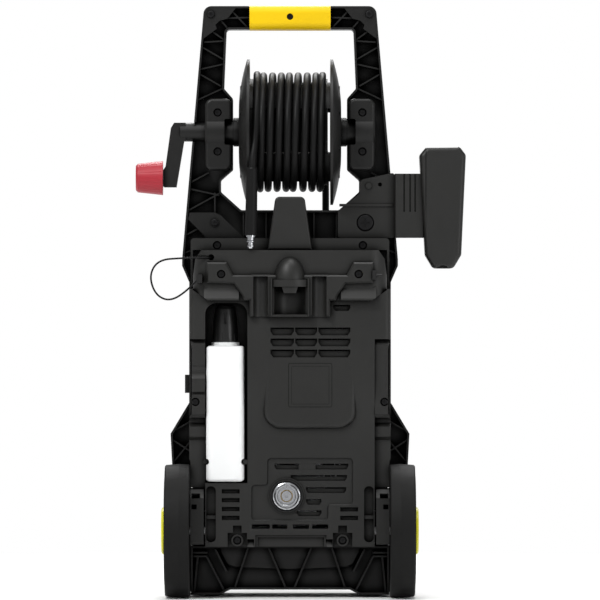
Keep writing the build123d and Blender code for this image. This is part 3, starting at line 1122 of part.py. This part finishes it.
# ---------------------------------------------------------------- wire
LEASH = [(-117.3, -101.5, 508.3), (-118.5, -112.5, 508.3), (-160.0, -117.0, 507.2),
         (-196.0, -118.0, 504.5), (-209.5, -117.0, 481.0), (-200.0, -116.0, 452.0),
         (-178.0, -115.5, 442.5), (-152.0, -116.5, 459.0), (-138.0, -117.5, 474.5)]
LEASH_R = 1.4


def wire_leash():
    return tube(LEASH, LEASH_R, "wire_leash") - wire_anchor() - upper_cover()


# ---------------------------------------------------------------- screws on the covers
def body_screws():
    parts = Part()
    for x, z in LOW_SCREWS:
        parts += screw(x, z, LOW_SEAT)
    for x, z in UPPER_SCREWS:
        parts += screw(x, z, BULGE_FACE + SCREW_SINK)
    for x, z in LEDGE_SCREWS:
        parts += screw(x, z, LEDGE_FACE + SCREW_SINK)
    for x, z in COLUMN_SCREWS:
        parts += screw(x, z, COLUMN_FACE + SCREW_SINK)
    return parts


def frame_screws():
    parts = screw(0, GRIP_SCREW_Z, -20.5, 4.7, 2.6)
    for side in (-1, 1):
        parts += screw(side * CORNER_SCREW[0], CORNER_SCREW[1], FRAME_REAR - 0.8)
    for x, z in BEARING_SCREWS:
        parts += screw(x, z, FRAME_REAR - 6)
    x, z = GUSSET_SCREW
    parts += screw(x, z, FRAME_REAR - 1)
    x, z = BRACKET_SCREW
    return parts + screw(x, z, FRAME_REAR - 5, 12.0, 4.0)


# ---------------------------------------------------------------- output
NODES = {
    "handle_frame": handle_frame, "frame_plates": frame_plates,
    "grip_rear": grip_rear, "grip_front": grip_front, "frame_screws": frame_screws,
    "bearing_covers": lambda: bearing_cover(-1) + bearing_cover(1),
    "reel_flange_left": lambda: flange(-1), "reel_flange_right": lambda: flange(1),
    "reel_barrel": reel_barrel, "reel_bushes": reel_bushes, "crank_arm": crank_arm,
    "crank_knob": crank_knob, "crank_pin": crank_pin,
    "hose_coil": hose_coil,
    "hose_tail": lambda: hose_tail(TAIL_REAR, "hose_tail"),
    "hose_sleeve": hose_sleeve, "hose_nipple": hose_nipple,
    "hose_feed": lambda: hose_tail(TAIL_FRONT, "hose_feed"),
    "outlet_nut": outlet_nut, "outlet_fitting": outlet_fitting,
    "holster_bracket": holster_bracket, "holster_arm": holster_arm, "holster": holster,
    "chassis_frame": chassis_frame, "base_frame": base_frame, "rubber_feet": rubber_feet,
    "axle_carriers": axle_carriers, "axle": axle, "axle_clips": axle_clips,
    "tyre_left": lambda: tyre(-1), "tyre_right": lambda: tyre(1),
    "rim_left": lambda: rim(-1), "rim_right": lambda: rim(1),
    "hub_cap_left": lambda: hub_cap(-1), "hub_cap_right": lambda: hub_cap(1),
    "rear_cover": rear_cover, "upper_cover": upper_cover,
    "wing_fittings": lambda: wire_anchor() + small_clip(), "ledge_cover": ledge_cover, "hose_hook": hose_hook,
    "side_columns": side_columns,
    "front_cover": front_cover, "front_trim": front_trim, "body_screws": body_screws,
    "switch_knob": switch_knob, "switch_box": switch_box, "cable_gland": cable_gland,
    "bottle": bottle, "bottle_cap": bottle_cap,
    "inlet_socket": inlet_socket, "inlet_pipe": inlet_spigot, "inlet_nut": inlet_nut,
    "inlet_filter": inlet_filter, "wire_leash": wire_leash, "motor_can": motor_can,
    "motor_stator": motor_stator, "motor_rotor": motor_rotor, "pump_housing": pump_housing,
    "pump_head": pump_head, "outlet_pipe": outlet_pipe,
}


def write():
    os.makedirs("parts", exist_ok=True)
    for name, make in NODES.items():
        export_step(Pos(-CENTRE_X, -CENTRE_Y, 0) * make(), f"parts/{name}.step")


if __name__ == "__main__":
    write()
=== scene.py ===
"""Looks for the upright pressure washer with a hose reel on its handle."""
import bpy
import json
import math
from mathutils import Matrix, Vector


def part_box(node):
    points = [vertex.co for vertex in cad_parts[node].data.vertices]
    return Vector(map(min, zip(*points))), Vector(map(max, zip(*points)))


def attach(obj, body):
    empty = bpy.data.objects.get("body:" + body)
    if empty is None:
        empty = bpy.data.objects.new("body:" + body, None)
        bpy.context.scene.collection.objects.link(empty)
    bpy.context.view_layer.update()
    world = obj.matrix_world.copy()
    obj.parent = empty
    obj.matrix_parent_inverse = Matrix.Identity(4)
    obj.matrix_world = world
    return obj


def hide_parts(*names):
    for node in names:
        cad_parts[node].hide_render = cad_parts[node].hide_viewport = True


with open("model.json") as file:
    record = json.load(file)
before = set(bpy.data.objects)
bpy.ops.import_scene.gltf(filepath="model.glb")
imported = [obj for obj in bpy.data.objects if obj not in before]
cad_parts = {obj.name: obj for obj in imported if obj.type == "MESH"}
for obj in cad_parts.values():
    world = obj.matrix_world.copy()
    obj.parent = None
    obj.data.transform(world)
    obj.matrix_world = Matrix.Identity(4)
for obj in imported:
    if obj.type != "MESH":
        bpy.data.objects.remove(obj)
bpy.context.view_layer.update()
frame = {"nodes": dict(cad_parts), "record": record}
nodes = frame["nodes"]
MM = 0.001
REEL_Y = -8.0
ROUNDING = 0.6 * MM

# The model's middle plane and the reel's axis, in the row frame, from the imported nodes.
barrel_low, barrel_high = (Vector(c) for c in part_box("reel_barrel"))
MID_X = (barrel_low.x + barrel_high.x) / 2
AXIS_Y = (barrel_low.y + barrel_high.y) / 2
AXIS_Z = (barrel_low.z + barrel_high.z) / 2


def spot(x, y, z):
    """A point given in mm from the middle plane and the reel's axis plane, as in the CAD source."""
    return Vector((MID_X + x * MM, AXIS_Y + (y - REEL_Y) * MM, z * MM))


# ---------------------------------------------------------------- camera, floor and light
CAMERA_DISTANCE = 10.0
VIEW_WIDTH = 0.9
SENSOR_WIDTH = 36.0
AIM = (15.0, -30.0, 444.75)
camera_data = bpy.data.cameras.new("camera")
camera_data.sensor_width = SENSOR_WIDTH
camera_data.lens = SENSOR_WIDTH * CAMERA_DISTANCE / VIEW_WIDTH
camera = bpy.data.objects.new("camera", camera_data)
camera.location = spot(*AIM) + Vector((0, -CAMERA_DISTANCE, 0))
camera.rotation_euler = (math.radians(90), 0, 0)
bpy.context.collection.objects.link(camera)
bpy.context.scene.camera = camera
bpy.context.scene.view_settings.view_transform = "Standard"

FLOOR_RADIUS = 1.7


def add_floor():
    """A plain, pale, round floor."""
    mesh = bpy.data.meshes.new("floor")
    angles = [math.radians(a) for a in range(0, 360, 3)]
    rim = [(FLOOR_RADIUS * math.cos(a), FLOOR_RADIUS * math.sin(a), 0.0) for a in angles]
    mesh.from_pydata(rim, [], [tuple(range(len(rim)))])
    floor = bpy.data.objects.new("floor", mesh)
    bpy.context.collection.objects.link(floor)
    return floor


floor = add_floor()


def add_light(name, where, target, size, power):
    data = bpy.data.lights.new(name, "AREA")
    data.shape = "DISK"
    data.size = size
    data.energy = power
    light = bpy.data.objects.new(name, data)
    light.location = where
    light.rotation_euler = (Vector(target) - Vector(where)).to_track_quat("-Z", "Y").to_euler()
    bpy.context.collection.objects.link(light)


add_light("key", (-1.7, -2.6, 3.2), (0, 0, 0.45), 1.1, 105)
add_light("fill", (2.9, -3.0, 1.0), (0, 0, 0.45), 1.6, 26)
add_light("top", (0.3, -0.6, 3.2), (0, 0, 0.4), 1.6, 36)
add_light("floor_wash", (0.0, 1.7, 2.4), (0, 1.1, 0), 1.4, 55)

SKY, GLOW = 0.42, 1.0
GLOW_BEHIND = ("Y", 0.80, 0.99, SKY, GLOW)
GLOW_BELOW = ("Z", -0.12, -0.02, GLOW, SKY)


def add_world():
    """A pale studio all round, brightest behind the machine and below the floor's edge."""
    world = bpy.data.worlds.new("studio")
    bpy.context.scene.world = world
    world.use_nodes = True
    tree = world.node_tree
    where = tree.nodes.new("ShaderNodeTexCoord")
    parts = tree.nodes.new("ShaderNodeSeparateXYZ")
    tree.links.new(where.outputs["Generated"], parts.inputs["Vector"])
    brightest = tree.nodes.new("ShaderNodeMath")
    brightest.operation = "MAXIMUM"
    for place, (axis, low, high, at_low, at_high) in enumerate((GLOW_BEHIND, GLOW_BELOW)):
        glow = tree.nodes.new("ShaderNodeMapRange")
        glow.interpolation_type = "SMOOTHSTEP"
        glow.inputs["From Min"].default_value = low
        glow.inputs["From Max"].default_value = high
        glow.inputs["To Min"].default_value = at_low
        glow.inputs["To Max"].default_value = at_high
        tree.links.new(parts.outputs[axis], glow.inputs["Value"])
        tree.links.new(glow.outputs["Result"], brightest.inputs[place])
    tree.links.new(brightest.outputs["Value"], tree.nodes["Background"].inputs["Strength"])
    tree.nodes["Background"].inputs["Color"].default_value = (1.0, 1.0, 1.0, 1.0)


add_world()


# ---------------------------------------------------------------- materials
def material(name, color, rough, metallic=0.0, vary=0.12, blotch=9.0, grain=1400.0, bump=0.25,
             rough_vary=0.08, stretch=(1, 1, 1), coat=0.0, subsurface=0.0, shine=0.5, painted_shade_reach=0.0):
    """A procedural finish: soft colour blotches, uneven gloss and a fine moulded grain.

    With a reach in metres given, painted shade darkens the colour and dulls the reflection inside hollows and
    grooves, out to that reach.
    """
    made = bpy.data.materials.new(name)
    made.use_nodes = True
    tree = made.node_tree
    shader = tree.nodes["Principled BSDF"]
    shader.inputs["Metallic"].default_value = metallic
    shader.inputs["Specular IOR Level"].default_value = shine
    if coat:
        shader.inputs["Coat Weight"].default_value = coat
        shader.inputs["Coat Roughness"].default_value = 0.12
    if subsurface:
        shader.inputs["Subsurface Weight"].default_value = subsurface
        shader.inputs["Subsurface Radius"].default_value = (0.01, 0.01, 0.01)
    where = tree.nodes.new("ShaderNodeTexCoord")
    mapping = tree.nodes.new("ShaderNodeMapping")
    mapping.inputs["Scale"].default_value = stretch
    tree.links.new(where.outputs["Object"], mapping.inputs["Vector"])

    def noise(scale, detail):
        node = tree.nodes.new("ShaderNodeTexNoise")
        node.inputs["Scale"].default_value = scale
        node.inputs["Detail"].default_value = detail
        tree.links.new(mapping.outputs["Vector"], node.inputs["Vector"])
        return node

    blotches = noise(blotch, 5.0)
    ramp = tree.nodes.new("ShaderNodeValToRGB")
    ramp.color_ramp.elements[0].position = 0.3
    ramp.color_ramp.elements[1].position = 0.7
    ramp.color_ramp.elements[0].color = [c * (1 - vary) for c in color] + [1.0]
    ramp.color_ramp.elements[1].color = [min(c * (1 + vary), 1.0) for c in color] + [1.0]
    tree.links.new(blotches.outputs["Fac"], ramp.inputs["Fac"])
    # Painted shade: ambient occlusion darkens the base colour and lowers the specular level in hollows and
    # grooves.
    if painted_shade_reach:
        painted_crease_shade = tree.nodes.new("ShaderNodeAmbientOcclusion")
        painted_crease_shade.samples = 6
        painted_crease_shade.inputs["Distance"].default_value = painted_shade_reach
        painted_shade_shine = tree.nodes.new("ShaderNodeMapRange")
        painted_shade_shine.inputs["From Min"].default_value = 0.35
        painted_shade_shine.inputs["From Max"].default_value = 0.95
        painted_shade_shine.inputs["To Min"].default_value = 0.0
        painted_shade_shine.inputs["To Max"].default_value = shine
        tree.links.new(ramp.outputs["Color"], painted_crease_shade.inputs["Color"])
        tree.links.new(painted_crease_shade.outputs["AO"], painted_shade_shine.inputs["Value"])
        tree.links.new(painted_shade_shine.outputs["Result"], shader.inputs["Specular IOR Level"])
        tree.links.new(painted_crease_shade.outputs["Color"], shader.inputs["Base Color"])
    else:
        tree.links.new(ramp.outputs["Color"], shader.inputs["Base Color"])

    gloss = noise(blotch * 7, 6.0)
    spread = tree.nodes.new("ShaderNodeMapRange")
    spread.inputs["To Min"].default_value = max(rough - rough_vary, 0.02)
    spread.inputs["To Max"].default_value = min(rough + rough_vary, 1.0)
    tree.links.new(gloss.outputs["Fac"], spread.inputs["Value"])
    tree.links.new(spread.outputs["Result"], shader.inputs["Roughness"])

    fine = noise(grain, 3.0)
    relief = tree.nodes.new("ShaderNodeBump")
    relief.inputs["Strength"].default_value = bump
    relief.inputs["Distance"].default_value = 0.0002
    tree.links.new(fine.outputs["Fac"], relief.inputs["Height"])
    tree.links.new(relief.outputs["Normal"], shader.inputs["Normal"])
    return made


# Reach in metres of the painted shade in the hollows and grooves of the dark plastics.
PAINTED_SHADE_DISTANCE = 0.012
FINISH = {
    "body_plastic": material("body_plastic", (0.0095, 0.0095, 0.0087), 0.46, shine=0.36, painted_shade_reach=PAINTED_SHADE_DISTANCE),
    # A darker copy of the body plastic, painted shade for the frame, reel and rim parts.
    "body_plastic_shaded_copy": material("body_plastic_shaded_copy", (0.0050, 0.0050, 0.0047), 0.44, shine=0.30, painted_shade_reach=PAINTED_SHADE_DISTANCE),
    "yellow_grip": material("yellow_grip", (0.70, 0.46, 0.001), 0.45, vary=0.05, shine=0.2),
    "yellow_cap": material("yellow_cap", (0.66, 0.62, 0.012), 0.36, vary=0.05, coat=0.1, shine=0.3),
    "red_knob": material("red_knob", (0.34, 0.016, 0.028), 0.45, vary=0.08, shine=0.35),
    "white_plastic": material("white_plastic", (0.82, 0.83, 0.83), 0.32, vary=0.03, bump=0.1,
                              subsurface=0.25),
    "black_cap": material("black_cap", (0.005, 0.005, 0.005), 0.34, shine=0.4),
    "tyre_rubber": material("tyre_rubber", (0.006, 0.006, 0.0058), 0.60, vary=0.2, grain=900.0,
                            bump=0.4, shine=0.14),
    "hose_rubber": material("hose_rubber", (0.0045, 0.0045, 0.0045), 0.46, vary=0.15, grain=2200.0,
                            bump=0.2, shine=0.14),
    "screw_steel": material("screw_steel", (0.006, 0.006, 0.0065), 0.40, metallic=0.3,
                            stretch=(1, 1, 6), shine=0.3),
    "steel": material("steel", (0.45, 0.45, 0.46), 0.30, metallic=1.0, stretch=(1, 1, 6)),
    "chrome": material("chrome", (0.50, 0.51, 0.53), 0.22, metallic=1.0, vary=0.06, bump=0.08,
                       rough_vary=0.07),
    "brass": material("brass", (0.66, 0.47, 0.19), 0.28, metallic=1.0, stretch=(1, 8, 1)),
    "aluminium": material("aluminium", (0.55, 0.55, 0.57), 0.42, metallic=1.0, grain=600.0, bump=0.5),
    "wire": material("wire", (0.006, 0.006, 0.006), 0.42, shine=0.15),
    "floor": material("floor", (0.90, 0.90, 0.90), 0.55, vary=0.01, blotch=2.0, grain=200.0, bump=0.02),
}
floor.data.materials.append(FINISH["floor"])

slots = {part["node"]: part["material_slot"] for part in frame["record"]["subparts"]}
INNER_STEEL = ("axle", "axle_clips", "crank_pin", "motor_rotor", "motor_stator", "outlet_pipe")
SHADED_COPY_PARTS = ("handle_frame", "frame_plates", "bearing_covers", "crank_arm", "chassis_frame", "base_frame",
               "reel_flange_left", "reel_flange_right", "reel_barrel", "reel_bushes", "rim_left", "rim_right")
for name, node in nodes.items():
    finish = FINISH[slots[name]]
    # Frame, reel and rim parts get the darker copy of the body plastic: painted shade.
    if name in SHADED_COPY_PARTS:
        finish = FINISH["body_plastic_shaded_copy"]
    if name == "inlet_socket":
        finish = FINISH["black_cap"]
    if name in INNER_STEEL:
        finish = FINISH["steel"]
    if not node.material_slots:
        node.data.materials.append(finish)
    for place in node.material_slots:
        place.material = finish
    rounding = node.modifiers.new("rounding", "BEVEL")
    rounding.width = ROUNDING
    rounding.segments = 2
    rounding.limit_method = "ANGLE"
    rounding.angle_limit = math.radians(40)
    rounding.harden_normals = False


# ---------------------------------------------------------------- hose
HOSE_R = 5.25
TURN_R, OUTER_TURN_R = 86.5, 88.6
TOPS = (49.0, 39.0, 26.0, 12.3, -0.9, -12.9, -26.1, -39.7, -49.5)
LOWS = (45.0, 33.0, 19.5, 4.5, -6.0, -19.5, -33.0, -45.0)
STEPS = 8
FEED = [(54.0, 95.5, 577.8), (54.0, 95.5, 654.0), (51.5, 85.5, 677.0)]
TAIL = [(-52.5, -102.5, 677.0), (-55.9, -113.5, 654.0), (-57.4, -113.5, 580.0)]


def coil_points():
    """The hose's single layer of turns, from the front over the top to the rear, eight and a half times."""
    ends = [TOPS[0] + 1.0]
    for top, low in zip(TOPS, LOWS + (None,)):
        ends.append(top)
        if low is not None:
            ends.append(low)
    ends.append(TOPS[-1] - 0.5)
    points = []
    last = len(ends) - 2
    for k in range(last + 1):
        span = STEPS if 0 < k < last else STEPS // 2
        first_angle = 0.0 if k == 0 else 90.0 + 180.0 * (k - 1)
        sweep = 90.0 if k in (0, last) else 180.0
        for step in range(span):
            share = step / span
            angle = math.radians(first_angle + sweep * share)
            proud = max(0.0, 1.0 - min(k, last - k) / 1.5)
            radius = TURN_R + (OUTER_TURN_R - TURN_R) * proud
            points.append((ends[k] + (ends[k + 1] - ends[k]) * share,
                           REEL_Y + radius * math.cos(angle), AXIS_Z / MM + radius * math.sin(angle)))
    return points


def nurbs_cord(name, points, radius, finish, resolution=6):
    curve = bpy.data.curves.new(name, "CURVE")
    curve.dimensions = "3D"
    curve.bevel_depth = radius * MM
    curve.bevel_resolution = 6
    curve.resolution_u = resolution
    curve.use_fill_caps = True
    line = curve.splines.new("NURBS")
    line.points.add(len(points) - 1)
    for place, point in zip(line.points, points):
        place.co = (*spot(*point), 1.0)
    line.order_u = 3
    line.use_endpoint_u = True
    curve.materials.append(FINISH[finish])
    cord = bpy.data.objects.new(name, curve)
    bpy.context.collection.objects.link(cord)
    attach(cord, "machine")
    return cord


hose = nurbs_cord("hose", FEED + coil_points() + TAIL, HOSE_R, "hose_rubber")
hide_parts("hose_coil", "hose_tail", "hose_feed")

LEASH = [(-117.3, -101.5, 508.3), (-118.5, -112.5, 508.3), (-160.0, -117.0, 507.2),
         (-196.0, -118.0, 504.5), (-209.5, -117.0, 481.0), (-200.0, -116.0, 452.0),
         (-178.0, -115.5, 442.5), (-152.0, -116.5, 459.0), (-138.0, -117.5, 474.5)]
LEASH_R = 1.4
leash = nurbs_cord("leash", LEASH, LEASH_R, "wire", 10)
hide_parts("wire_leash")
